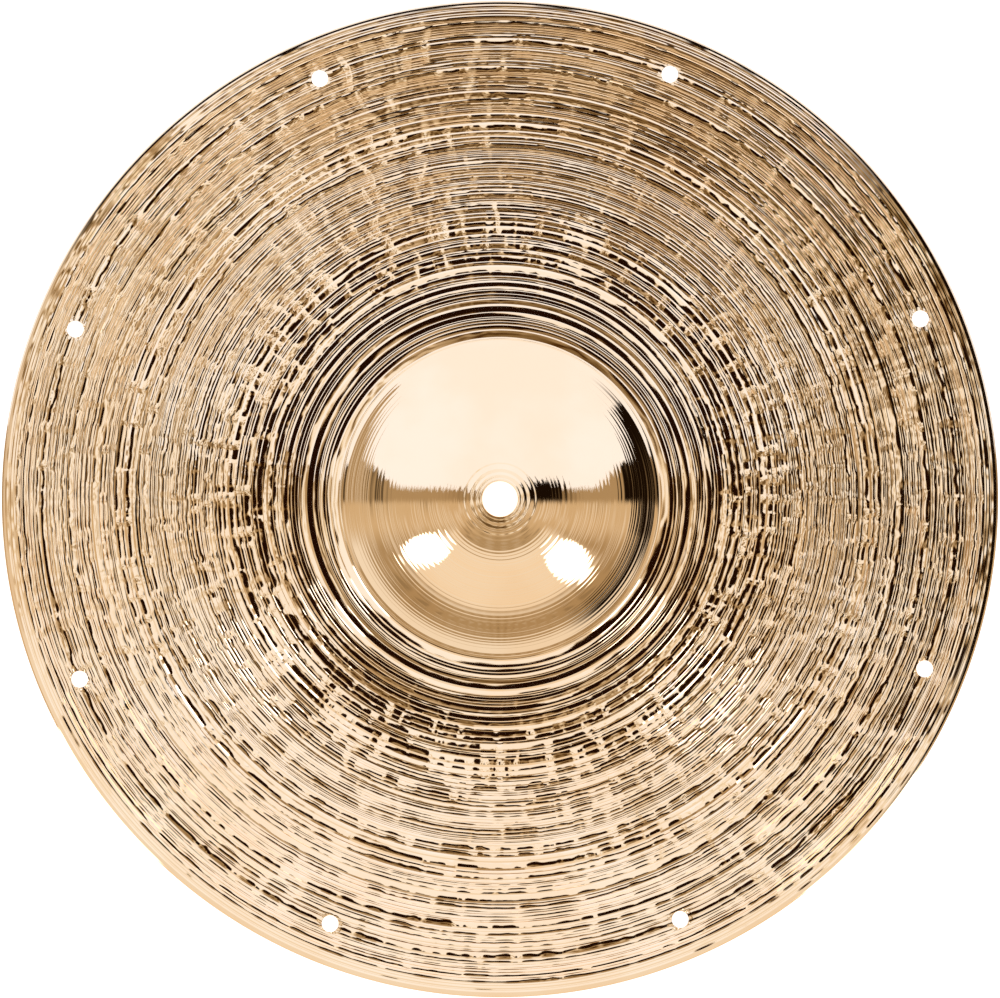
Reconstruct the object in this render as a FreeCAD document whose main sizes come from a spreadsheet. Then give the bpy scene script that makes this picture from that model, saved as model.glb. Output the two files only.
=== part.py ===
"""A 14 inch hand-lathed bronze cymbal with eight vent holes near its rim, in millimetres.

The cymbal is one turned and hammered plate, so the document holds one body. Its section is a bell (a
spherical cap), a root curve, a bow (a much flatter spherical cap) and a rim band that bends down a little
more steeply. +Z is up through the bell, and the origin is on the axis, level with the rim's foot.
"""

import FreeCAD, Part
import math
import os
import sys

import Sketcher

PARTS_FOLDER = "parts"

# Driving dimensions: alias, value in millimetres (degrees for the angle, a plain count for the number).
DIMENSIONS = (
    ("cymbal_diameter", 355.6),
    ("bell_apex", 36.1),
    ("mounting_hole_diameter", 12.6),
    ("bell_radius", 86.0),
    ("bell_gauge", 1.2),
    ("root_radius", 4.0),
    ("bow_apex", 17.0),
    ("bow_radius", 1030.0),
    ("bow_gauge", 1.1),
    ("bow_under_radius", 1049.0),
    ("rim_band_radius", 80.0),
    ("rim_gauge", 0.8),
    ("rim_rounding", 0.3),
    ("hole_deburr", 0.15),
    ("vent_diameter", 6.0),
    ("vent_circle_diameter", 326.2),
    ("vent_count", 8),
    ("first_vent_angle", 23.2),
)

# What the vents take away, against plain cylinders as long as the rim's gauge: the plate is thicker there.
LEAST_VENT_SHARE, MOST_VENT_SHARE = 0.9, 1.4

UP = FreeCAD.Vector(0, 0, 1)
START, END, CENTRE = 1, 2, 3  # Sketcher's names for the points of a line or an arc
ORIGIN_POINT = (-1, 1)
V_AXIS = -2
H_AXIS = -1


def make_sheet(doc):
    """Adds the spreadsheet that drives every size, and returns its numbers as a dictionary."""
    sheet = doc.addObject("Spreadsheet::Sheet", "Sheet")
    for row, (alias, value) in enumerate(DIMENSIONS, start=1):
        sheet.set(f"A{row}", alias)
        sheet.set(f"B{row}", str(value))
        sheet.setAlias(f"B{row}", alias)
    doc.recompute()
    return {alias: float(sheet.get(alias)) for alias, _ in DIMENSIONS}


def plane_of(body, role):
    """One of the body's own origin planes or axes."""
    return next(item for item in body.Origin.OriginFeatures if item.Role == role)


def crossings(centre_a, reach_a, centre_b, reach_b):
    """The two points that are reach_a from one centre and reach_b from the other, the inner one first."""
    first = Part.Circle(centre_a, UP, reach_a)
    second = Part.Circle(centre_b, UP, reach_b)
    points = [FreeCAD.Vector(hit.X, hit.Y, 0) for hit in first.intersect(second)]
    return sorted(points, key=lambda point: point.x)


def on_circle(centre, radius, towards):
    """Where a circle meets the line from its centre to, or through, a point."""
    return centre + (towards - centre).normalize() * radius


def arc(centre, radius, first, last):
    """A counter-clockwise arc of a circle from the direction of one point to that of another."""
    angles = [math.atan2(point.y - centre.y, point.x - centre.x) for point in (first, last)]
    return Part.ArcOfCircle(Part.Circle(centre, UP, radius), *angles)


def face_curves(bell, root_radius, bow, band_radius, hole_x, rim):
    """One face of the section, from the hole outwards: bell, root, bow and rim band arcs.

    bell and bow are each (apex height, radius) of a circle centred on the axis. The root arc is hollow and
    touches both. The rim band's arc touches the bow and ends at the rim.
    """
    bell_centre = FreeCAD.Vector(0, bell[0] - bell[1], 0)
    bow_centre = FreeCAD.Vector(0, bow[0] - bow[1], 0)
    _, root_centre = crossings(bell_centre, bell[1] + root_radius, bow_centre, bow[1] + root_radius)
    band_centre, _ = crossings(bow_centre, bow[1] - band_radius, rim, band_radius)
    hole_end = bell_centre + FreeCAD.Vector(hole_x, math.sqrt(bell[1] ** 2 - hole_x**2), 0)
    bell_end = on_circle(bell_centre, bell[1], root_centre)
    bow_start = on_circle(bow_centre, bow[1], root_centre)
    bow_end = on_circle(bow_centre, bow[1], band_centre)
    return (
        arc(bell_centre, bell[1], bell_end, hole_end),
        arc(root_centre, root_radius, bell_end, bow_start),
        arc(bow_centre, bow[1], bow_end, bow_start),
        arc(band_centre, band_radius, rim, bow_end),
    )


def add_section(body, size):
    """The half section on the XZ plane, held by constraints that read the sheet."""
    sketch = body.newObject("Sketcher::SketchObject", "Section")
    sketch.AttachmentSupport = [(plane_of(body, "XZ_Plane"), "")]
    sketch.MapMode = "FlatFace"

    rim_x = size["cymbal_diameter"] / 2.0
    hole_x = size["mounting_hole_diameter"] / 2.0
    rim_top = FreeCAD.Vector(rim_x, size["rim_gauge"], 0)
    rim_foot = FreeCAD.Vector(rim_x, 0, 0)
    gauge = size["bell_gauge"]
    top_curves = face_curves(
        (size["bell_apex"], size["bell_radius"]), size["root_radius"],
        (size["bow_apex"], size["bow_radius"]), size["rim_band_radius"], hole_x, rim_top,
    )
    under_curves = face_curves(
        (size["bell_apex"] - gauge, size["bell_radius"] - gauge), size["root_radius"] + gauge,
        (size["bow_apex"] - size["bow_gauge"], size["bow_under_radius"]), size["rim_band_radius"],
        hole_x, rim_foot,
    )
    top = sketch.addGeometry(list(top_curves), False)
    under = sketch.addGeometry(list(under_curves), False)
    hole_wall = sketch.addGeometry(
        Part.LineSegment(under_curves[0].EndPoint, top_curves[0].EndPoint), False
    )
    rim_wall = sketch.addGeometry(Part.LineSegment(rim_foot, rim_top), False)

    def hold(*terms):
        return sketch.addConstraint(Sketcher.Constraint(*terms))

    def drive(name, expression, *terms):
        index = hold(*terms)
        sketch.renameConstraint(index, name)
        sketch.setExpression("Constraints." + name, expression)

    for bell, root, bow, band in (top, under):
        hold("PointOnObject", bell, CENTRE, V_AXIS)
        hold("PointOnObject", bow, CENTRE, V_AXIS)
        hold("Tangent", bell, START, root, START)
        hold("Tangent", root, END, bow, END)
        hold("Tangent", bow, START, band, END)
    hold("Coincident", hole_wall, START, under[0], END)
    hold("Coincident", hole_wall, END, top[0], END)
    hold("Coincident", rim_wall, START, under[3], START)
    hold("Coincident", rim_wall, END, top[3], START)
    hold("Vertical", hole_wall)
    hold("Vertical", rim_wall)
    hold("PointOnObject", rim_wall, START, H_AXIS)

    def across(name, expression, geometry, point, value):
        drive(name, expression, "DistanceX", *ORIGIN_POINT, geometry, point, value)

    def radius(name, expression, geometry):
        drive(name, expression, "Radius", geometry, sketch.Geometry[geometry].Radius)

    def depth(name, expression, geometry):
        drive(name, expression, "DistanceY", geometry, CENTRE, *ORIGIN_POINT,
              -sketch.Geometry[geometry].Center.y)

    across("rim_reach", "Sheet.cymbal_diameter / 2", rim_wall, START, rim_x)
    across("hole_reach", "Sheet.mounting_hole_diameter / 2", hole_wall, START, hole_x)
    drive("rim_wall_height", "Sheet.rim_gauge", "DistanceY", rim_wall, START, rim_wall, END,
          size["rim_gauge"])
    radius("bell_top", "Sheet.bell_radius", top[0])
    depth("bell_top_depth", "Sheet.bell_radius - Sheet.bell_apex", top[0])
    radius("root_top", "Sheet.root_radius", top[1])
    radius("bow_top", "Sheet.bow_radius", top[2])
    depth("bow_top_depth", "Sheet.bow_radius - Sheet.bow_apex", top[2])
    radius("band_top", "Sheet.rim_band_radius", top[3])
    radius("bell_under", "Sheet.bell_radius - Sheet.bell_gauge", under[0])
    depth("bell_under_depth", "Sheet.bell_radius - Sheet.bell_apex", under[0])
    radius("root_under", "Sheet.root_radius + Sheet.bell_gauge", under[1])
    radius("bow_under", "Sheet.bow_under_radius", under[2])
    depth("bow_under_depth", "Sheet.bow_under_radius - Sheet.bow_apex + Sheet.bow_gauge", under[2])
    radius("band_under", "Sheet.rim_band_radius", under[3])
    return sketch


def spin_plate(body, sketch):
    """The plate: the section turned once round the axis."""
    plate = body.newObject("PartDesign::Revolution", "Plate")
    plate.Profile = sketch
    plate.ReferenceAxis = (sketch, ["V_Axis"])
    plate.Angle = 360.0
    return plate


def circle_edges(feature, radius, tolerance=0.02):
    """Names of the feature's edges that are circles of that radius about the Z axis."""
    found = []
    for number, edge in enumerate(feature.Shape.Edges, start=1):
        curve = edge.Curve
        if isinstance(curve, Part.Circle) and abs(curve.Radius - radius) < tolerance:
            if math.hypot(curve.Center.x, curve.Center.y) < tolerance:
                found.append(f"Edge{number}")
    return found


def round_rim(body, plate, size):
    """The rim is rounded over on both faces, so that it has no cutting edge."""
    rounding = body.newObject("PartDesign::Fillet", "RimRounding")
    rounding.Base = (plate, circle_edges(plate, size["cymbal_diameter"] / 2.0))
    rounding.setExpression("Radius", "Sheet.rim_rounding")
    return rounding


def deburr_hole(body, base, size):
    """A small chamfer on both mouths of the mounting hole."""
    deburr = body.newObject("PartDesign::Chamfer", "HoleDeburr")
    deburr.Base = (base, circle_edges(base, size["mounting_hole_diameter"] / 2.0))
    deburr.setExpression("Size", "Sheet.hole_deburr")
    return deburr


def drill_vent(body, size):
    """One vent hole, drilled parallel to the axis."""
    sketch = body.newObject("Sketcher::SketchObject", "VentCircle")
    sketch.AttachmentSupport = [(plane_of(body, "XY_Plane"), "")]
    sketch.MapMode = "FlatFace"
    angle = math.radians(size["first_vent_angle"])
    reach = size["vent_circle_diameter"] / 2.0
    centre = FreeCAD.Vector(reach * math.cos(angle), reach * math.sin(angle), 0)
    hole = sketch.addGeometry(Part.Circle(centre, UP, size["vent_diameter"] / 2.0), False)
    radius = sketch.addConstraint(
        Sketcher.Constraint("Radius", hole, size["vent_diameter"] / 2.0)
    )
    across = sketch.addConstraint(
        Sketcher.Constraint("DistanceX", *ORIGIN_POINT, hole, CENTRE, centre.x)
    )
    along = sketch.addConstraint(
        Sketcher.Constraint("DistanceY", *ORIGIN_POINT, hole, CENTRE, centre.y)
    )
    sketch.setExpression(f"Constraints[{radius}]", "Sheet.vent_diameter / 2")
    for index, turn in ((across, "cos"), (along, "sin")):
        sketch.setExpression(
            f"Constraints[{index}]",
            f"Sheet.vent_circle_diameter / 2 * {turn}(Sheet.first_vent_angle * 1 deg)",
        )
    vent = body.newObject("PartDesign::Pocket", "Vent")
    vent.Profile = sketch
    vent.Type = "ThroughAll"
    vent.Midplane = True
    return vent


def repeat_vent(body, vent):
    """The ring of vents."""
    ring = body.newObject("PartDesign::PolarPattern", "VentRing")
    ring.Originals = [vent]
    ring.Axis = (plane_of(body, "Z_Axis"), [""])
    ring.Angle = 360.0
    ring.setExpression("Occurrences", "Sheet.vent_count")
    return ring


def make_cymbal(doc, size):
    """The whole cymbal as one PartDesign body."""
    body = doc.addObject("PartDesign::Body", "Cymbal")
    body.Label = "cymbal"
    section = add_section(body, size)
    doc.recompute()
    if section.solve() != 0:
        sys.exit("the section's constraints don't solve")
    plate = spin_plate(body, section)
    doc.recompute()
    rounding = round_rim(body, plate, size)
    doc.recompute()
    deburr_hole(body, rounding, size)
    doc.recompute()
    volume_before = body.Shape.Volume
    vent = drill_vent(body, size)
    doc.recompute()
    body.Tip = repeat_vent(body, vent)
    doc.recompute()
    removed = volume_before - body.Shape.Volume
    one_vent = math.pi * size["vent_diameter"] ** 2 / 4.0 * size["rim_gauge"]
    if not LEAST_VENT_SHARE < removed / (one_vent * size["vent_count"]) < MOST_VENT_SHARE:
        sys.exit(f"the vents took away {removed:.1f} mm3, which isn't {size['vent_count']:.0f} holes")
    return body


def check(doc, bodies):
    """Stops if any object failed, or a body isn't one valid closed solid."""
    for item in doc.Objects:
        if any(word in state for state in item.State for word in ("Invalid", "Error")):
            sys.exit(f"{item.Label} failed: {item.State}")
    for body in bodies:
        shape = body.Shape
        if shape.isNull() or not shape.isValid() or len(shape.Solids) != 1:
            sys.exit(f"{body.Label} isn't one valid solid")


def main():
    doc = FreeCAD.newDocument("Cymbal14")
    size = make_sheet(doc)
    bodies = [make_cymbal(doc, size)]
    check(doc, bodies)
    os.makedirs(PARTS_FOLDER, exist_ok=True)
    for body in bodies:
        body.Shape.exportStep(os.path.join(PARTS_FOLDER, body.Label + ".step"))
        box = body.Shape.optimalBoundingBox(True, False)
        print(f"{body.Label}: {box.XLength:.2f} x {box.YLength:.2f} x {box.ZLength:.2f} mm,"
              f" z from {box.ZMin:.3f}, {body.Shape.Volume / 1000.0:.2f} cm3")


main()
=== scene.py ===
"""A lathed and hammered bronze cymbal, bell up on a pale floor, seen from straight above."""

import math

import bpy
import numpy as np
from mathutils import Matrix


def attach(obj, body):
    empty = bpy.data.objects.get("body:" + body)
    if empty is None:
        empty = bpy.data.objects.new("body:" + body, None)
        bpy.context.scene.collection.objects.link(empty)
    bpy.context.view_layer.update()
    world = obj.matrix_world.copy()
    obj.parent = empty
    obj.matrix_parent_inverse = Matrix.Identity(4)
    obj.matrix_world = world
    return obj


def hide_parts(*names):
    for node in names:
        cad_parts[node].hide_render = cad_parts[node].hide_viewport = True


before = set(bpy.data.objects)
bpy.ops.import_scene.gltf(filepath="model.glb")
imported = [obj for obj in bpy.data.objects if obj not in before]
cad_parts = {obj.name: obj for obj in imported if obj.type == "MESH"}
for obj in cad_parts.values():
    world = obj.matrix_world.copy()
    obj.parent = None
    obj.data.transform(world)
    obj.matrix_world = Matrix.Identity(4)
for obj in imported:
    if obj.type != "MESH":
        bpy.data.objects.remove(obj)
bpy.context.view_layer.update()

# Sizes in millimetres, the same as the CAD section
RIM_RADIUS = 177.8
HOLE_RADIUS = 6.3
BELL_APEX, BELL_RADIUS, BELL_GAUGE = 36.1, 86.0, 1.2
ROOT_RADIUS = 4.0
BOW_APEX, BOW_RADIUS, BOW_GAUGE, BOW_UNDER_RADIUS = 17.0, 1030.0, 1.1, 1049.0
BAND_RADIUS, RIM_GAUGE = 80.0, 0.8
VENT_RADIUS, VENT_CIRCLE, VENTS, FIRST_VENT = 3.0, 163.1, 8, 23.2

# The mesh
MM = 0.001
TURN = 2 * math.pi
SEED = 20
COLUMNS = 960                                   # round the circle
THETA = np.arange(COLUMNS) * (TURN / COLUMNS)
CORNER = 0.15                                   # the rounded corners at the centre hole and the rim
HOLE_FLAT = 0.4                                 # a smooth ring round the centre hole ends here
BORE_WALL = 0.4                                 # half the height of the bore's straight wall
RIM_WALL = 0.25                                 # half the height of the rim's wall, as a share of its gauge
VENT_STEPS, VENT_CORNER, VENT_MARGIN = 72, 0.1, 0.2

# Relief, in millimetres, with slopes in degrees. A pair is the range of a random draw, the limits of a size
# or the radii where something fades, and for a ring's slopes its value near the bell and far out on the bow.
OFF_CENTRE, OFF_ANGLE = 1.25, math.radians(135.0)       # the lathe's rings on the bow are this far off centre
OFF_CENTRE_STARTS, OFF_CENTRE_STOPS = (58.0, 78.0), (140.0, 168.0)

WAVES_START = 0.6                                       # the bell's turned waves start this far off the hole
WAVE_SPREAD, WAVE_LIMITS = 0.35, (0.7, 2.8)
WAVE_WIDTH, WAVE_NARROWING, WAVE_NARROWS = 1.6, 0.4, (38, 46)
WAVE_SLOPE, WAVE_AT_HOLE, WAVE_AT_ROOT = 3.4, 5.0, 4.0
WAVE_HOLE_FADE, WAVE_ROOT_FADE = (11.0, 13.0), (38, 50)
WAVE_STRENGTH = (0.4, 1.3)

RINGS_START, BAND_START = 55.9, 172.9                   # where the saw-tooth rings begin and end
RING_WIDTH, RING_NARROWING, RING_NARROWS = 1.35, 0.25, (75, 110)
RING_SPREAD, RING_LIMITS, RING_FADE = 0.45, (0.6, 2.9), (53.0, 57.5)
FAR = (74, 130)                                         # near turns into far between these radii
RING_TILT, RING_DRAWS, RING_DRIFT, DRIFT_LENGTH = (0.8, 4.1), (1.2, 1.6), 0.5, 1.1
CALM, CALM_FADE = 0.35, (125, 155)                      # the draws and blows weaken towards the rim
RING_RISER = (0.14, 0.32)                               # the riser's share of a ring
RING_CURVE, BEND_SHARE = (1.5, 3.8), 0.22               # how far a flank is bent
BLOW_TILT, BLOW_FADE, BLOW_TALL, BLOW_WIDE = 1.5, (70, 100), 5.5, 6.0
BLOW_TALL_SPREAD, BLOW_WIDE_SPREAD, FEWEST_BLOWS = (0.5, 1.6), (0.3, 1.7), 8
BLOW_SLOPE, JOINT_STRENGTH, JOINT_WIDTH = 0.8, 3.2, (0.8, 1.3)
LONG_TILT, LONG_ARC, LONG_BLUR = (0.7, 0.8), 22.0, 0.4
FINE_TILT, FINE_ARC = (0.2, 0.45), 5.0
TILT_LIMITS, CREST_LIMIT, CREST_SUNK = (-5.0, 7.0), 0.5, 0.4
RINGS_GAP = 0.4                                         # smooth metal between the waves and the rings

MARK_RINGS = np.arange(56.0, 179.0)                     # the radii on which hammer marks are drawn
MARK_FADE_IN, MARK_FADE_OUT, MARK_WEAKENS = (62, 90), (166, 173), 0.8
SMALL_MARK = {"depth": 0.012, "edge": 2.2, "arc": 2.8, "blur": 2.5}
LARGE_MARK = {"depth": 0.028, "edge": 1.6, "arc": 5.5, "blur": 2.4}

STEP_WIDTH, STEP_SPREAD, STEP_LIMITS = 0.75, 0.35, (0.45, 1.2)  # the rim band's steps
STEP_LEAN, STEP_FRONT, STEP_SINK = 4.6, 40.0, 0.035             # tread, front, and fall per millimetre
STEP_WAVER, STEP_WAVER_ARC, STEP_DRAWS = 1.0, 9.0, 0.5
EDGE_START, EDGE_STOP, EDGE_TILT = 176.55, 177.25, 43.5         # the bevel at the rim

UNDER_BELL_STOP, UNDER_BOW_START = 55.0, 62.0           # the lower face's waves
UNDER_BOW_STOP, UNDER_EDGE = 1.2, 0.5                   # in from the rim
UNDER_BELL = {"width": 1.6, "spread": 0.3, "limits": (0.8, 2.8), "slope": 3.0, "strength": (0.3, 1.0)}
UNDER_BOW = {"width": 1.7, "spread": 0.4, "limits": (0.9, 3.2), "slope": 10.0, "strength": (0.4, 1.0)}
UNDER_ROOT_ROWS = 0.5                                   # the rows of the lower root curve are this far apart

# Camera and floor, in metres; the sensor is in millimetres
CAMERA_HEIGHT, CAMERA_REACH, SENSOR_WIDTH = 6.0, 50.0, 36.0
RIM_SHARE = 0.4983                                      # the rim's radius as a share of the frame's width
FLOOR_HALF = 6.0


def smooth(places, x):
    """0 below the first place, 1 above the second, and smooth between."""
    low, high = places
    t = np.clip((x - low) / (high - low), 0.0, 1.0)
    return t * t * (3.0 - 2.0 * t)


# ---------------------------------------------------------------- the smooth section

def tangent_centre(z_a, reach_a, z_b, reach_b):
    """Centre (r, z) that is reach_a from (0, z_a) and reach_b from (0, z_b)."""
    z = (z_a + z_b) / 2.0 + (reach_b**2 - reach_a**2) / (2.0 * (z_a - z_b))
    return math.sqrt(reach_a**2 - (z - z_a) ** 2), z


def band_centre(bow_z, reach, rim_r, rim_z, radius):
    """Centre (r, z) of the rim band: reach from the bow's centre and radius from the rim."""
    dr, dz = rim_r, rim_z - bow_z
    d = math.hypot(dr, dz)
    along = (reach**2 - radius**2 + d**2) / (2.0 * d)
    off = math.sqrt(reach**2 - along**2)
    return (along * dr - off * dz) / d, bow_z + (along * dz + off * dr) / d


def section(bell_apex, bell_radius, root_radius, bow_apex, bow_radius, rim_z):
    """The height of one face as a function of radius: bell, root, bow and rim band, all tangent."""
    bell_z, bow_z = bell_apex - bell_radius, bow_apex - bow_radius
    root_r, root_z = tangent_centre(bell_z, bell_radius + root_radius, bow_z, bow_radius + root_radius)
    bell_end = root_r * bell_radius / (bell_radius + root_radius)
    bow_start = root_r * bow_radius / (bow_radius + root_radius)
    band_r, band_z = band_centre(bow_z, bow_radius - BAND_RADIUS, RIM_RADIUS, rim_z, BAND_RADIUS)
    bow_end = band_r * bow_radius / (bow_radius - BAND_RADIUS)

    def height(r):
        def up(radius, z, offset=0.0):
            return z + np.sqrt(np.maximum(radius**2 - (r - offset) ** 2, 0.0))
        root = root_z - np.sqrt(np.maximum(root_radius**2 - (r - root_r) ** 2, 0.0))
        outer = np.where(r < bow_end, up(bow_radius, bow_z), up(BAND_RADIUS, band_z, band_r))
        return np.where(r < bell_end, up(bell_radius, bell_z), np.where(r < bow_start, root, outer))
    return height


top_height = section(BELL_APEX, BELL_RADIUS, ROOT_RADIUS, BOW_APEX, BOW_RADIUS, RIM_GAUGE)
under_height = section(BELL_APEX - BELL_GAUGE, BELL_RADIUS - BELL_GAUGE, ROOT_RADIUS + BELL_GAUGE,
                       BOW_APEX - BOW_GAUGE, BOW_UNDER_RADIUS, 0.0)


# ---------------------------------------------------------------- lathe rings and hammer marks

def shift(u):
    """How far a ring of the lathe is off the plate's centre."""
    return OFF_CENTRE * smooth(OFF_CENTRE_STARTS, u) * (1 - smooth(OFF_CENTRE_STOPS, u))


def ring_at(r, angle):
    """The ring parameter at a point, undoing the lathe's offset."""
    u = r - shift(r) * np.cos(angle - OFF_ANGLE)
    return r - shift(u) * np.cos(angle - OFF_ANGLE)


def tan(degrees):
    return np.tan(np.radians(degrees))


def fall_of(height, r, span=0.05):
    """How steeply the smooth face falls outward."""
    return -(height(r + span) - height(r - span)) / (2 * span)


def soft_noise(rng, radii, arc, row_blur=0.0, wave_per_arc=2.2):
    """Rows of smooth noise round the circle, of unit deviation, whose waves are about arc mm long."""
    rows = len(radii)
    waves = np.fft.rfft(rng.standard_normal((rows, COLUMNS)), axis=1)
    k = np.arange(waves.shape[1])[None, :]
    cut = TURN * np.asarray(radii)[:, None] / (arc * wave_per_arc)
    waves *= np.exp(-0.5 * (k / cut) ** 2)
    waves[:, 0] = 0
    out = np.fft.irfft(waves, COLUMNS, axis=1)
    if row_blur > 0:
        n = int(math.ceil(row_blur * 3))
        weights = np.exp(-0.5 * (np.arange(-n, n + 1) / row_blur) ** 2)
        padded = np.pad(out, ((n, n), (0, 0)), mode="reflect")
        out = sum(weights[i] * padded[i:i + rows] for i in range(2 * n + 1))
    return out / out.std(axis=1, keepdims=True).clip(1e-9)


def courses(rng, radii, tall, wide):
    """Courses of hammer blows like a round brick wall: uneven blocks with steeper joints."""
    out = np.zeros((len(radii), COLUMNS))
    place = np.arange(COLUMNS) / COLUMNS
    start = radii[0]
    while start <= radii[-1]:
        stop = start + tall * rng.uniform(*BLOW_TALL_SPREAD)
        rows = (radii >= start) & (radii < stop)
        count = max(FEWEST_BLOWS, int(TURN * start / wide))
        edges = np.concatenate([[0.0], np.cumsum(rng.uniform(*BLOW_WIDE_SPREAD, count))])
        edges /= edges[-1]
        block = np.clip(np.searchsorted(edges, place, "right") - 1, 0, count - 1)
        before, after = place - edges[block], edges[block + 1] - place
        joint = np.minimum(before, after) * TURN * start
        strength = rng.uniform(0, 1, count + 1) ** 2 * JOINT_STRENGTH
        strength = strength[np.where(before < after, block, block + 1) % count]
        slope = rng.uniform(-BLOW_SLOPE, BLOW_SLOPE, count)[block]
        out[rows] = slope + strength * np.exp(-(joint / rng.uniform(*JOINT_WIDTH)) ** 2)
        start = stop
    out -= out.mean()
    return out / out.std()


def even_draws(rng, n, fours=(-1.36, -0.38, 0.38, 1.36), loose=0.2):
    """Near-normal draws of unit deviation whose every four have a mean of zero."""
    draws = [rng.permutation(fours) for _ in range(n // 4 + 1)]
    return np.concatenate(draws)[:n] + loose * rng.standard_normal(n)


def drift(rng, n, length):
    """A random walk of unit deviation that wanders over about length steps."""
    reach = 4 * int(length + 1)
    weights = np.exp(-0.5 * (np.arange(-reach, reach + 1) / length) ** 2)
    x = np.convolve(rng.standard_normal(n + len(weights)), weights, "same")[reach:reach + n]
    return x / x.std()


def cells(rng, start, stop, mean, spread, limits):
    """Ring edges from start to stop with uneven widths, about mean(u) apart and within the limits."""
    edges = [start]
    while edges[-1] < stop - limits[0]:
        width = rng.lognormal(math.log(mean(edges[-1])), spread)
        edges.append(edges[-1] + float(np.clip(width, *limits)))
    edges = np.array(edges)
    return start + (edges - start) * (stop - start) / (edges[-1] - start)


class Face:
    """Rows of one face of the plate: a ring parameter, a relief height and whether the row is a crease."""

    def __init__(self, height, flip=1.0):
        self.height, self.flip = height, flip
        self.u, self.relief, self.crease = [], [], []

    def row(self, u, relief=0.0, crease=False):
        self.u.append(u)
        self.relief.append(np.broadcast_to(np.asarray(relief, float), (COLUMNS,)))
        self.crease.append(crease)

    def ripples(self, edges, slope, strength):
        """Shallow waves between the edges, slope(u) degrees steep."""
        for a, b, s in zip(edges[:-1], edges[1:], strength):
            h = (b - a) * tan(slope(a)) * s / TURN
            for t in (0.0, 0.25, 0.5, 0.75):
                self.row(a + (b - a) * t, h * math.cos(TURN * t))

    def close(self, marks):
        """Turns the rows into radius and height grids, with the hammer marks added."""
        self.u = np.array(self.u)
        self.r = self.u[:, None] + shift(self.u)[:, None] * np.cos(THETA - OFF_ANGLE)[None, :]
        place = np.clip(self.u - MARK_RINGS[0], 0, len(MARK_RINGS) - 1.001)
        i = place.astype(int)
        f = (place - i)[:, None]
        dents = marks[i] * (1 - f) + marks[i + 1] * f
        self.z = self.height(self.r) + self.flip * np.array(self.relief) + dents

    def height_at(self, r, angle):
        """The finished height at points, read from the grids."""
        row = np.interp(ring_at(r, angle), self.u, np.arange(len(self.u)))
        col = (angle % TURN) / TURN * COLUMNS
        i = np.clip(row.astype(int), 0, len(self.u) - 2)
        j = col.astype(int) % COLUMNS
        f, g = row - i, col - np.floor(col)
        k = (j + 1) % COLUMNS
        return ((self.z[i, j] * (1 - g) + self.z[i, k] * g) * (1 - f)
                + (self.z[i + 1, j] * (1 - g) + self.z[i + 1, k] * g) * f)


def hammer_marks(rng):
    """Shallow flat-bottomed blows over the bow, on rings 1 mm apart."""
    marks = 0.0
    for mark in (SMALL_MARK, LARGE_MARK):
        noise = soft_noise(rng, MARK_RINGS, mark["arc"], mark["blur"])
        marks = marks + mark["depth"] * np.tanh(mark["edge"] * noise)
    fade = smooth(MARK_FADE_IN, MARK_RINGS) * (1 - MARK_WEAKENS * smooth(MARK_FADE_OUT, MARK_RINGS))
    return marks * fade[:, None]


def saw_teeth(rng, face, edges):
    """A function that adds the bow's lathe rings, each a hammered flank and a narrow riser."""
    n, mid, width = len(edges) - 1, 0.5 * (edges[1:] + edges[:-1]), np.diff(edges)
    far = smooth(FAR, mid)

    def blend(near_value, far_value):
        return near_value * (1 - far) + far_value * far
    calm = 1 - CALM * smooth(CALM_FADE, mid)
    tilt = (blend(*RING_TILT) + RING_DRIFT * drift(rng, n, DRIFT_LENGTH)
            + blend(*RING_DRAWS) * calm * even_draws(rng, n))
    flank = width * (1 - rng.uniform(*RING_RISER, n))
    blows = smooth(BLOW_FADE, mid)[:, None] * courses(rng, mid, BLOW_TALL, BLOW_WIDE)
    long = blend(*LONG_TILT)[:, None] * soft_noise(rng, mid, LONG_ARC, LONG_BLUR)
    fine = blend(*FINE_TILT)[:, None] * soft_noise(rng, mid, FINE_ARC)
    tilt = np.clip(tilt[:, None] + BLOW_TILT * calm[:, None] * blows + long + fine, *TILT_LIMITS)
    crest = np.minimum(flank[:, None] * (fall_of(top_height, mid)[:, None] + tan(tilt)), CREST_LIMIT)
    bend = flank * tan(blend(*RING_CURVE)) * BEND_SHARE

    def add_rows():
        for a, w, c, b in zip(edges, flank, crest, bend):
            fade, base = smooth(RING_FADE, a), CREST_SUNK * c.mean()
            face.row(a, -fade * base, True)
            for t in (0.33, 0.67):
                face.row(a + w * t, fade * (c * t + b - base))
            face.row(a + w, fade * (c - base), True)
    return add_rows


def band_steps(rng, face):
    """The rim band: steps with a tread that leans in a little and a steep front, then a bevelled edge."""
    steps = cells(rng, BAND_START, EDGE_START, lambda u: STEP_WIDTH, STEP_SPREAD, STEP_LIMITS)
    sunk = 0.0
    for a, b in zip(steps[:-1], steps[1:]):
        lean = STEP_LEAN + STEP_WAVER * soft_noise(rng, [a], STEP_WAVER_ARC)[0]
        lean = lean + STEP_DRAWS * rng.standard_normal()
        fall = fall_of(top_height, a)
        front_share = (fall + tan(STEP_LEAN) + STEP_SINK) / (tan(STEP_FRONT) + tan(STEP_LEAN))
        tread = (b - a) * (1 - front_share)
        face.row(a, -sunk, True)
        face.row(a + tread, tread * (fall + tan(lean)) - sunk, True)
        sunk += STEP_SINK * (b - a)
    face.row(EDGE_START, -sunk, True)
    bevel = (EDGE_STOP - EDGE_START) * (fall_of(top_height, EDGE_START) - tan(EDGE_TILT)) - sunk
    face.row(EDGE_STOP, bevel, True)
    face.row(RIM_RADIUS - CORNER, bevel)


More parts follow.
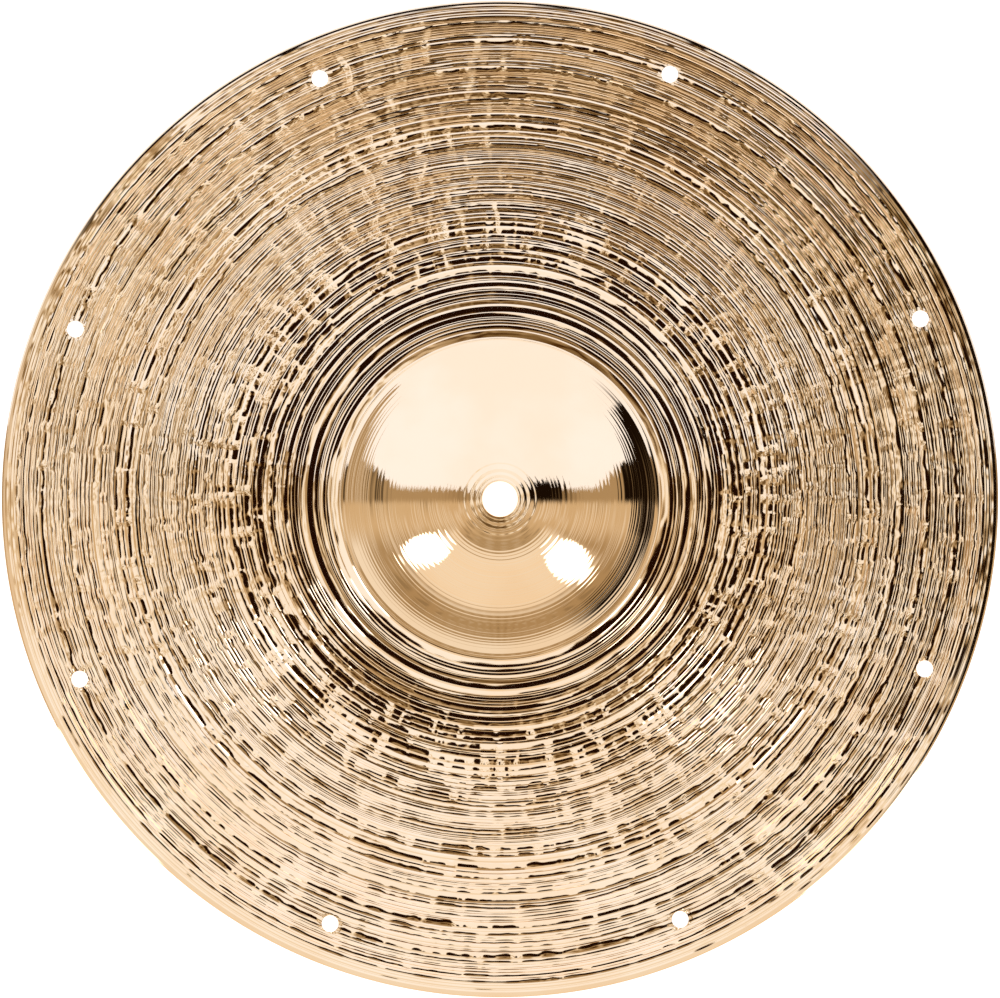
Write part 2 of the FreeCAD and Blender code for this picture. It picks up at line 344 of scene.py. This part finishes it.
def top_face(rng):
    """The upper face: fine waves on the bell, saw-tooth lathe rings on the bow and steps on the rim band."""
    face = Face(top_height)
    bell = cells(rng, HOLE_RADIUS + WAVES_START, RINGS_START - RINGS_GAP,
                 lambda u: WAVE_WIDTH - WAVE_NARROWING * smooth(WAVE_NARROWS, u), WAVE_SPREAD, WAVE_LIMITS)
    bow = cells(rng, RINGS_START, BAND_START,
                lambda u: RING_WIDTH - RING_NARROWING * smooth(RING_NARROWS, u), RING_SPREAD, RING_LIMITS)
    add_rings = saw_teeth(rng, face, bow)

    face.row(HOLE_RADIUS + CORNER)
    face.row(HOLE_RADIUS + HOLE_FLAT)
    face.ripples(bell, lambda u: (WAVE_SLOPE + WAVE_AT_HOLE * (1 - smooth(WAVE_HOLE_FADE, u))
                                  + WAVE_AT_ROOT * smooth(WAVE_ROOT_FADE, u)),
                 rng.uniform(*WAVE_STRENGTH, len(bell) - 1))
    face.row(RINGS_START - RINGS_GAP)
    add_rings()
    band_steps(np.random.default_rng(SEED + 1), face)
    return face


def under_face(rng):
    """The lower face: the same waves, a little calmer, without the rings and steps."""
    face = Face(under_height, -1.0)

    def waves(start, stop, kind):
        edges = cells(rng, start, stop, lambda u: kind["width"], kind["spread"], kind["limits"])
        face.ripples(edges, lambda u: kind["slope"], rng.uniform(*kind["strength"], len(edges) - 1))
    face.row(HOLE_RADIUS + CORNER)
    face.row(HOLE_RADIUS + HOLE_FLAT)
    waves(HOLE_RADIUS + WAVES_START, UNDER_BELL_STOP, UNDER_BELL)
    for u in np.arange(UNDER_BELL_STOP, UNDER_BOW_START, UNDER_ROOT_ROWS):
        face.row(u)
    waves(UNDER_BOW_START, RIM_RADIUS - UNDER_BOW_STOP, UNDER_BOW)
    for inset in (UNDER_BOW_STOP, UNDER_EDGE, CORNER):
        face.row(RIM_RADIUS - inset)
    return face


# ---------------------------------------------------------------- the mesh

def sorted_round(points, centre):
    """The order of the points by angle round a centre, and the angles."""
    angle = np.arctan2(points[:, 1] - centre[1], points[:, 0] - centre[0]) % TURN
    order = np.argsort(angle)
    return order, angle[order]


def zip_rings(inner, inner_angle, outer, outer_angle):
    """Triangles between two closed rings of vertex numbers, both sorted by angle, seen from above."""
    triangles, i, o = [], 0, 0
    n, m = len(inner), len(outer)
    while i < n or o < m:
        next_i = inner_angle[i % n - n + 1] + (TURN if i >= n - 1 else 0)
        next_o = outer_angle[o % m - m + 1] + (TURN if o >= m - 1 else 0)
        if o < m and (i >= n or next_o <= next_i):
            triangles.append((inner[i % n], outer[o % m], outer[(o + 1) % m]))
            o += 1
        else:
            triangles.append((inner[i % n], outer[o % m], inner[(i + 1) % n]))
            i += 1
    return triangles


def plate_mesh(top, under):
    """One closed mesh: rows of the top face, rim, lower face and bore, with the vents cut through."""
    rim_z, bore_z = 0.5 * (top.z[-1] + under.z[-1]), 0.5 * (top.z[0] + under.z[0])
    rim_half = RIM_WALL * (top.z[-1] - under.z[-1])
    rim, bore = np.full((1, COLUMNS), RIM_RADIUS), np.full((1, COLUMNS), HOLE_RADIUS)
    r = np.vstack([top.r, rim, rim, under.r[::-1], bore, bore])
    z = np.vstack([top.z, rim_z + rim_half, rim_z - rim_half, under.z[::-1],
                   bore_z - BORE_WALL, bore_z + BORE_WALL])
    crease = np.array(top.crease + [False, False] + under.crease[::-1] + [True, True])
    crease[len(top.u) - 1] = crease[len(top.u) + 2] = crease[0] = crease[len(crease) - 3] = True
    rows = len(r)
    verts = np.stack([r * np.cos(THETA), r * np.sin(THETA), z], -1).reshape(-1, 3)
    crease_id = np.repeat(np.where(crease, np.arange(rows) + 1, 0), COLUMNS)

    i = np.arange(rows)[:, None] * COLUMNS
    i_next = (np.arange(rows)[:, None] + 1) % rows * COLUMNS
    j = np.arange(COLUMNS)[None, :]
    j_next = (j + 1) % COLUMNS
    quads = np.stack([i + j, i_next + j, i_next + j_next, i + j_next], -1).reshape(-1, 4)
    face_row = np.repeat(np.arange(rows), COLUMNS)
    on_top, on_under = face_row < len(top.u) - 1, (face_row > len(top.u) + 1) & (face_row < rows - 2)

    keep = np.ones(len(quads), bool)
    vent_verts, vent_ids, vent_quads, triangles = [], [], [], []
    next_vert, next_id = len(verts), rows + 1
    ring_angle = np.arange(VENT_STEPS) * (TURN / VENT_STEPS)
    for k in range(VENTS):
        a = math.radians(FIRST_VENT + 360.0 / VENTS * k)
        centre = np.array([VENT_CIRCLE * math.cos(a), VENT_CIRCLE * math.sin(a)])
        inside = np.hypot(verts[:, 0] - centre[0], verts[:, 1] - centre[1]) < VENT_RADIUS + VENT_MARGIN
        hit = inside[quads].any(1)
        keep &= ~hit
        rings = []
        for face, out, drop in ((top, VENT_CORNER, 0.0), (top, 0.0, -VENT_CORNER),
                                (under, 0.0, VENT_CORNER), (under, VENT_CORNER, 0.0)):
            x = centre[0] + (VENT_RADIUS + out) * np.cos(ring_angle)
            y = centre[1] + (VENT_RADIUS + out) * np.sin(ring_angle)
            height = face.height_at(np.hypot(x, y), np.arctan2(y, x)) + drop
            vent_verts.append(np.stack([x, y, height], -1))
            vent_ids.append(np.full(VENT_STEPS, next_id))
            rings.append(np.arange(VENT_STEPS) + next_vert)
            next_vert += VENT_STEPS
            next_id += 1
        for one, two in zip(rings[:-1], rings[1:]):
            vent_quads.append(np.stack([np.roll(one, -1), np.roll(two, -1), two, one], -1))
        for side, ring, turn in ((on_top, rings[0], 1), (on_under, rings[3], -1)):
            edge = np.unique(quads[hit & side])
            edge = edge[~inside[edge]]
            order, angle = sorted_round(verts[edge], centre)
            triangles += [t[::turn] for t in zip_rings(ring, ring_angle, edge[order], angle)]

    verts = np.vstack([verts] + vent_verts)
    crease_id = np.concatenate([crease_id] + vent_ids)
    quads = np.vstack([quads[keep]] + vent_quads)
    triangles = np.array(triangles)
    used = np.zeros(len(verts), bool)
    used[quads.ravel()] = used[triangles.ravel()] = True
    number = np.cumsum(used) - 1
    return verts[used] * MM, number[quads], number[triangles], crease_id[used]


def make_mesh(name, verts, quads, triangles, crease_id):
    """A smooth-shaded mesh whose edges along a crease are sharp."""
    mesh = bpy.data.meshes.new(name)
    corners = np.concatenate([quads.ravel(), triangles.ravel()]).astype(np.int32)
    sizes = np.concatenate([np.full(len(quads), 4), np.full(len(triangles), 3)])
    starts = np.concatenate([[0], np.cumsum(sizes)[:-1]]).astype(np.int32)
    mesh.vertices.add(len(verts))
    mesh.vertices.foreach_set("co", verts.astype(np.float32).ravel())
    mesh.loops.add(len(corners))
    mesh.loops.foreach_set("vertex_index", corners)
    mesh.polygons.add(len(sizes))
    mesh.polygons.foreach_set("loop_start", starts)
    mesh.update(calc_edges=True)
    mesh.validate()
    mesh.polygons.foreach_set("use_smooth", np.ones(len(mesh.polygons), bool))
    ends = np.empty(len(mesh.edges) * 2, np.int32)
    mesh.edges.foreach_get("vertices", ends)
    one, two = crease_id[ends[0::2]], crease_id[ends[1::2]]
    sharp = mesh.attributes.new("sharp_edge", "BOOLEAN", "EDGE")
    sharp.data.foreach_set("value", (one == two) & (one > 0))
    mesh.update()
    return mesh


# ---------------------------------------------------------------- node arithmetic

class Tree:
    """Shorthand for building number and colour nodes."""

    def __init__(self, tree):
        self.tree = tree
        tree.nodes.clear()

    def node(self, kind, **settings):
        node = self.tree.nodes.new(kind)
        for key, value in settings.items():
            setattr(node, key, value)
        return node

    def feed(self, socket, value):
        if isinstance(value, bpy.types.NodeSocket):
            self.tree.links.new(value, socket)
        else:
            socket.default_value = value

    def math(self, operation, *values):
        node = self.node("ShaderNodeMath", operation=operation)
        for socket, value in zip(node.inputs, values):
            self.feed(socket, value)
        return node.outputs[0]

    def add(self, *values):
        total = values[0]
        for value in values[1:]:
            total = self.math("ADD", total, value)
        return total

    def times(self, *values):
        total = values[0]
        for value in values[1:]:
            total = self.math("MULTIPLY", total, value)
        return total

    def less(self, a, b):
        return self.math("SUBTRACT", a, b)

    def ramp(self, x, low, high, start=0.0, stop=1.0, kind="SMOOTHSTEP"):
        """start below low, stop above high, and smooth between."""
        node = self.node("ShaderNodeMapRange", interpolation_type=kind)
        for socket, value in zip(node.inputs, (x, low, high, start, stop)):
            self.feed(socket, value)
        return node.outputs[0]

    def mix(self, a, b, factor):
        node = self.node("ShaderNodeMix", data_type="RGBA", clamp_factor=True)
        self.feed(node.inputs[0], factor)
        for socket, value in ((node.inputs[6], a), (node.inputs[7], b)):
            self.feed(socket, value if isinstance(value, bpy.types.NodeSocket) else (*value, 1.0))
        return node.outputs[2]

    def tones(self, level):
        """The tone of a level between 0 and 1, from the table of tones."""
        node = self.node("ShaderNodeValToRGB")
        for place, tone in TONES:
            stops = node.color_ramp.elements
            stop = stops.new(place) if 0 < place < 1 else stops[0 if place == 0 else len(stops) - 1]
            stop.color = (*tone, 1.0)
        self.feed(node.inputs[0], level)
        return node.outputs[0]

    def choose(self, factor, first, second):
        """The first shader where the factor is 0 and the second where it is 1."""
        node = self.node("ShaderNodeMixShader")
        for socket, value in zip(node.inputs, (factor, first, second)):
            self.feed(socket, value)
        return node.outputs[0]

    def end(self, kind, shader):
        self.feed(self.node(kind).inputs[0], shader)


# ---------------------------------------------------------------- studio light

# Colours of the surroundings. A sky or a lamp is brighter than white.
SKY = (1.12, 1.25, 1.56)
BROWN = (0.46, 0.35, 0.215)
TAN = (0.70, 0.57, 0.40)
CREAM = (0.96, 0.94, 0.92)
PANEL = (0.98, 0.90, 0.80)
DUSK = (0.20, 0.145, 0.08)
BLACK = (0.010, 0.005, 0.002)
LAMP = (3.0, 3.2, 3.6)
# The tones round the axis, by level, from the dark middle to the sky
TONES = ((0.0, (0.014, 0.004, 0.001)), (0.11, (0.060, 0.022, 0.003)), (0.24, (0.140, 0.082, 0.026)),
         (0.37, (0.255, 0.182, 0.093)), (0.55, (0.485, 0.39, 0.265)), (0.73, (0.76, 0.67, 0.55)),
         (0.88, (1.01, 1.0, 0.91)), (1.0, SKY))

# Places in degrees. Two are where a thing fades in or out, and four where it fades in and then out. A name
# that ends in RAMP holds two places and the values at them. beta is measured from the axis, side round it
# from the bottom to either hand, psi to the right, left to the left, elev upward and depth downward.
BROWN_DEPTH = (10, 22)
FURROW_RATES, FURROW_PHASE = (1.15, 0.11, 0.9), 0.5
FURROW_PALE, FURROW_DARK = (0.5, 2.0), (-0.8, -2.2)     # heights of the waves
FURROW_RAMP, FURROW_DUSK = (30, 70, 0.15, 0.55), 0.45
PANEL_BETA, PANEL_SIDE = (24.5, 27, 54, 60), (52, 64)
STRIPE_RATE, STRIPE_PALE = 1.15, (-0.5, 1.0)            # of the panel
PALE_BETA, PALE_DEPTH = (71, 75), (10, 20)
STREAK_BETA, STREAK_SIDE = (69, 71, 76, 78), (24, 44, 84, 92)
DUSKY_TREES, BLACK_TREES, FAR_TREES = (-30, 0, 30, 40), (5, 9, 28, 32), (59, 64, 76, 79)
LEFT_TREES, LEFT_STRENGTH = (56, 60, 62, 66), 0.8
GAPS_LEFT, GAPS_WAVE, GAPS_STRENGTH = (66, 70), (0.3, 0.9), 0.7
TREE_WOBBLE = ((1.7, 0.0), (2.9, 1.0), (5.3, 2.0))      # rate and phase of the waves along the trees' edges
FOOT, FOOT_WOBBLE, FOOT_DIP, FOOT_RAMP, FOOT_SOFT = -1.2, 0.5, (6, 9), (10, 18, -4.5, 0), (-1.2, 1.2)
DARK_PSI, DARK_ELEV = (66.5, 69, 76, 79), (-16, -12)
TOP, TOP_WOBBLE, TOP_SOFT = 4.6, 0.6, (-0.4, 0.4)
TOP_HUMP, TOP_HUMP_HEIGHT = (6, 10, 26, 34), 3.6
RIGHT_RAMP, RIGHT_EDGE_RAMP = (48, 62, 0, 10), (65, 71, 0, 23)
LEFT_RAMP, LEFT_EDGE_RAMP = (50, 72, 0, 13), (69, 75, 0, 30)
LOW_BETA, LOW_TURN, LOW_REACH = (83.5, 85.5), 1.5, (-0.35, 0.15)
RIGHT_BETA, RIGHT_SIDE = (77.5, 79), (58, 74, 125, 145)

# Round the axis: the level is highest on the bright side, uneven on the other, and dark in the middle
BRIGHT_SIDE = math.radians(75)
AXIS_FADE = (11, 14)
LEVEL, LEVEL_TURN, LEVEL_LIMIT = 0.86, 0.13, 0.96
PLAID = ((0.3, 2.1, 1.0), (-0.25, 1.6, 0.0))            # slant, rate and phase of the two sets of stripes
PLAID_RAMP = (-0.1, 0.8, 0.30, 0.02)
GLOW_RAMP = (5, 7.5, 0.14, 0)
SHADE_AXIS, SHADE_WIDE_RAMP, SHADE_FROM, SHADE_LOW_RAMP = 1.8, (2.0, 6.5, 1, 0), (-0.5, 5.0), (8, 13, 0.62, 0)
MIDDLE_PSI, MIDDLE_ELEV, MIDDLE_SIZE = 0.9, -0.6, 3.2
MIDDLE_RAMP = (-0.8, 0.8, 0.30, 0.10)
LAMPS = ((-0.558, -0.388, 1.0, 0.72), (0.516, -0.469, 0.95, 0.9))      # x, y of the direction, and stretch
LAMP_EDGE = (0.155, 0.175)


def studio_colour(t, x, y, z):
    """The light that comes from direction (x, y, z), as a colour built with the node shorthand t."""
    def degrees(radians):
        return t.times(radians, 180 / math.pi)

    def wave(value, rate, phase=0.0):
        return t.math("SINE", t.add(t.times(value, rate), phase))

    def length(a, b):
        return t.math("SQRT", t.add(t.times(a, a), t.times(b, b), 1e-9))

    def window(value, places, strength=1.0):
        return t.times(t.ramp(value, *places[:2]), t.ramp(value, *places[2:], strength, 0.0))

    def fade_out(value, places):
        return t.ramp(value, *places, 1.0, 0.0)
    beta = degrees(t.math("ARCCOSINE", z))
    elev = degrees(t.math("ARCSINE", y))
    psi = degrees(t.math("ARCTAN2", x, z))
    depth, left = t.times(elev, -1.0), t.times(psi, -1.0)
    side = degrees(t.math("ARCTAN2", t.math("ABSOLUTE", x), t.times(y, -1.0)))
    to_right = t.math("GREATER_THAN", x, 0.0)
    in_front = t.math("GREATER_THAN", z, 0.0)

    # Ground: tan, brown farther down, a wide pale panel, and pale again at the edge of the floor
    ground = t.mix(TAN, BROWN, t.ramp(depth, *BROWN_DEPTH))
    rates = FURROW_RATES
    furrow = t.add(wave(beta, rates[0], FURROW_PHASE), wave(side, rates[1]), wave(psi, rates[2]))
    ground = t.mix(ground, CREAM, t.times(t.ramp(furrow, *FURROW_PALE), t.ramp(side, *FURROW_RAMP)))
    ground = t.mix(ground, DUSK, t.times(t.ramp(furrow, *FURROW_DARK), FURROW_DUSK))
    panel = t.mix(PANEL, CREAM, t.ramp(wave(beta, STRIPE_RATE), *STRIPE_PALE))
    ground = t.mix(ground, panel, t.times(window(beta, PANEL_BETA), fade_out(side, PANEL_SIDE)))
    ground = t.mix(ground, CREAM, t.times(t.ramp(beta, *PALE_BETA), t.ramp(depth, *PALE_DEPTH)))
    ground = t.mix(ground, BLACK, t.times(window(beta, STREAK_BETA), window(side, STREAK_SIDE), to_right))

    # Trees between the ground and the sky
    trees = t.mix(BROWN, DUSK, window(psi, DUSKY_TREES))
    trees = t.mix(trees, BLACK, window(psi, BLACK_TREES))
    trees = t.mix(trees, BLACK, window(psi, FAR_TREES))
    trees = t.mix(trees, BLACK, window(left, LEFT_TREES, LEFT_STRENGTH))
    gaps = t.ramp(wave(beta, 1.0), *GAPS_WAVE)
    trees = t.mix(trees, CREAM, t.times(t.ramp(left, *GAPS_LEFT), gaps, GAPS_STRENGTH))
    wobble = t.add(*(wave(psi, rate, phase) for rate, phase in TREE_WOBBLE))
    foot = t.add(FOOT, t.times(wobble, FOOT_WOBBLE), t.times(t.ramp(psi, *FOOT_DIP), t.ramp(psi, *FOOT_RAMP)))
    colour = t.mix(ground, trees, t.ramp(t.less(elev, foot), *FOOT_SOFT))
    colour = t.mix(colour, BLACK, t.times(window(psi, DARK_PSI), t.ramp(elev, *DARK_ELEV)))
    top = t.add(TOP, t.times(wobble, TOP_WOBBLE), window(psi, TOP_HUMP, TOP_HUMP_HEIGHT),
                t.ramp(psi, *RIGHT_RAMP, "LINEAR"), t.ramp(psi, *RIGHT_EDGE_RAMP),
                t.ramp(left, *LEFT_RAMP, "LINEAR"), t.ramp(left, *LEFT_EDGE_RAMP))
    colour = t.mix(colour, SKY, t.ramp(t.less(elev, top), *TOP_SOFT))

    # Dark at the horizon: all along the top and right, and a little higher at the right
    upper_right = t.ramp(t.add(x, t.times(y, LOW_TURN)), *LOW_REACH)
    colour = t.mix(colour, BLACK, t.times(t.ramp(beta, *LOW_BETA), upper_right))
    colour = t.mix(colour, BLACK, t.times(t.ramp(beta, *RIGHT_BETA), window(side, RIGHT_SIDE), to_right))

    # Round the axis: a dark middle that is crisp above and soft below
    q = length(psi, elev)
    across, up = t.times(psi, math.cos(BRIGHT_SIDE)), t.times(elev, math.sin(BRIGHT_SIDE))
    toward = t.math("DIVIDE", t.add(across, up), q)
    level = t.add(t.times(toward, LEVEL_TURN), LEVEL)
    (slant, rate, phase), (slant_2, rate_2, phase_2) = PLAID
    plaid = t.add(wave(t.add(psi, t.times(elev, slant)), rate, phase),
                  wave(t.add(elev, t.times(psi, slant_2)), rate_2, phase_2))
    level = t.add(level, t.times(plaid, t.ramp(toward, *PLAID_RAMP)), t.ramp(q, *GLOW_RAMP))
    level = t.math("MINIMUM", level, LEVEL_LIMIT)
    shade = t.times(t.ramp(t.math("ABSOLUTE", t.add(psi, SHADE_AXIS)), *SHADE_WIDE_RAMP),
                    t.ramp(depth, *SHADE_FROM), t.ramp(depth, *SHADE_LOW_RAMP))
    level = t.times(level, t.less(1.0, shade))
    middle = length(t.times(t.add(psi, MIDDLE_PSI), 1 / MIDDLE_SIZE),
                    t.times(t.add(elev, MIDDLE_ELEV), 1 / MIDDLE_SIZE))
    soft = t.ramp(toward, *MIDDLE_RAMP, "LINEAR")
    level = t.times(level, t.ramp(middle, t.less(1.0, soft), t.add(1.0, soft)))
    result = t.mix(colour, t.tones(level), t.times(fade_out(q, AXIS_FADE), in_front))

    for lamp_x, lamp_y, wide, tall in LAMPS:
        d = length(t.times(t.less(x, lamp_x), 1 / wide), t.times(t.less(y, lamp_y), 1 / tall))
        result = t.mix(result, LAMP, t.times(fade_out(d, LAMP_EDGE), in_front))
    return result


def studio(scene):
    """Soft light by direction. Seen directly it is plain and pale."""
    world = bpy.data.worlds.new("studio")
    world.use_nodes = True
    scene.world = world
    t = Tree(world.node_tree)
    split = t.node("ShaderNodeSeparateXYZ")
    t.feed(split.inputs[0], t.node("ShaderNodeTexCoord").outputs["Generated"])
    light, plain = t.node("ShaderNodeBackground"), t.node("ShaderNodeBackground")
    t.feed(light.inputs[0], studio_colour(t, *split.outputs))
    plain.inputs[0].default_value = WHITE
    seen = t.node("ShaderNodeLightPath").outputs["Is Camera Ray"]
    t.end("ShaderNodeOutputWorld", t.choose(seen, light.outputs[0], plain.outputs[0]))


# ---------------------------------------------------------------- materials

WHITE, GREY = (1.0, 1.0, 1.0, 1.0), (0.5, 0.5, 0.5, 1.0)
BRONZE, DEEP_BRONZE = (0.945, 0.712, 0.470), (0.925, 0.667, 0.415)
CLOUD_SCALE, LINE_SCALE, WEAR_SCALE = 26.0, 2600.0, 90.0       # of the noises, per metre
CLOUDS, LINE_RAMP, WEAR_RAMP = (0.35, 0.65), (0.3, 0.7, 0.02, 0.04), (0.4, 0.7, 0.0, 0.01)
LINE_STRENGTH, LINE_DEPTH = 0.35, 0.000008
FLOOR_GLOW = 0.95


def new_material(name):
    material = bpy.data.materials.new(name)
    material.use_nodes = True
    return material, Tree(material.node_tree)


def bronze():
    """Polished bronze: a faint drift of tone, fine turning lines and slightly uneven gloss."""
    material, t = new_material("polished_bronze")
    place = t.node("ShaderNodeTexCoord").outputs["Object"]
    split = t.node("ShaderNodeSeparateXYZ")
    t.feed(split.inputs[0], place)
    x, y = split.outputs[0], split.outputs[1]
    ring = t.node("ShaderNodeCombineXYZ")
    t.feed(ring.inputs[0], t.math("SQRT", t.add(t.times(x, x), t.times(y, y))))

    def noise(scale, detail, vector=place):
        node = t.node("ShaderNodeTexNoise")
        t.feed(node.inputs["Vector"], vector)
        node.inputs["Scale"].default_value = scale
        node.inputs["Detail"].default_value = detail
        return node.outputs[0]
    lines = noise(LINE_SCALE, detail=2.0, vector=ring.outputs[0])
    shader = t.node("ShaderNodeBsdfPrincipled")
    clouds = t.ramp(noise(CLOUD_SCALE, detail=3.0), *CLOUDS)
    t.feed(shader.inputs["Base Color"], t.mix(BRONZE, DEEP_BRONZE, clouds))
    shader.inputs["Metallic"].default_value = 1.0
    gloss = t.add(t.ramp(lines, *LINE_RAMP), t.ramp(noise(WEAR_SCALE, detail=2.0), *WEAR_RAMP))
    t.feed(shader.inputs["Roughness"], gloss)
    bump = t.node("ShaderNodeBump")
    bump.inputs["Strength"].default_value = LINE_STRENGTH
    bump.inputs["Distance"].default_value = LINE_DEPTH
    t.feed(bump.inputs["Height"], lines)
    t.feed(shader.inputs["Normal"], bump.outputs[0])
    t.end("ShaderNodeOutputMaterial", shader.outputs[0])
    return material


def pale_floor():
    """A softly lit pale surface, open from below."""
    material, t = new_material("pale_floor")
    diffuse = t.node("ShaderNodeBsdfDiffuse")
    diffuse.inputs[0].default_value = GREY
    glow = t.node("ShaderNodeEmission")
    glow.inputs[0].default_value = WHITE
    glow.inputs[1].default_value = FLOOR_GLOW
    both = t.node("ShaderNodeAddShader")
    t.feed(both.inputs[0], diffuse.outputs[0])
    t.feed(both.inputs[1], glow.outputs[0])
    clear = t.node("ShaderNodeBsdfTransparent")
    from_below = t.node("ShaderNodeNewGeometry").outputs["Backfacing"]
    t.end("ShaderNodeOutputMaterial", t.choose(from_below, both.outputs[0], clear.outputs[0]))
    return material


# ---------------------------------------------------------------- scene

def add_object(name, mesh, material):
    obj = bpy.data.objects.new(name, mesh)
    mesh.materials.append(material)
    bpy.context.scene.collection.objects.link(obj)
    return obj


def add_camera(scene):
    """Straight above the centre hole, with the rim just inside the frame."""
    camera = bpy.data.objects.new("camera", bpy.data.cameras.new("camera"))
    camera.data.sensor_width = SENSOR_WIDTH
    camera.data.lens = SENSOR_WIDTH * CAMERA_HEIGHT * RIM_SHARE / (RIM_RADIUS * MM)
    camera.data.clip_end = CAMERA_REACH
    camera.location = (0.0, 0.0, CAMERA_HEIGHT)
    scene.collection.objects.link(camera)
    scene.camera = camera


def main():
    scene = bpy.context.scene
    rng = np.random.default_rng(SEED)
    top, under = top_face(rng), under_face(rng)
    marks = hammer_marks(rng)
    top.close(marks)
    under.close(marks)
    plate = add_object("cymbal_plate", make_mesh("cymbal_plate", *plate_mesh(top, under)), bronze())
    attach(plate, "root")
    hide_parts("cymbal")

    ground = bpy.data.meshes.new("floor")
    h = FLOOR_HALF
    ground.from_pydata([(-h, -h, 0), (h, -h, 0), (h, h, 0), (-h, h, 0)], [], [(0, 1, 2, 3)])
    add_object("floor", ground, pale_floor())

    studio(scene)
    scene.view_settings.view_transform = "Standard"
    scene.view_settings.look = "None"
    add_camera(scene)


main()
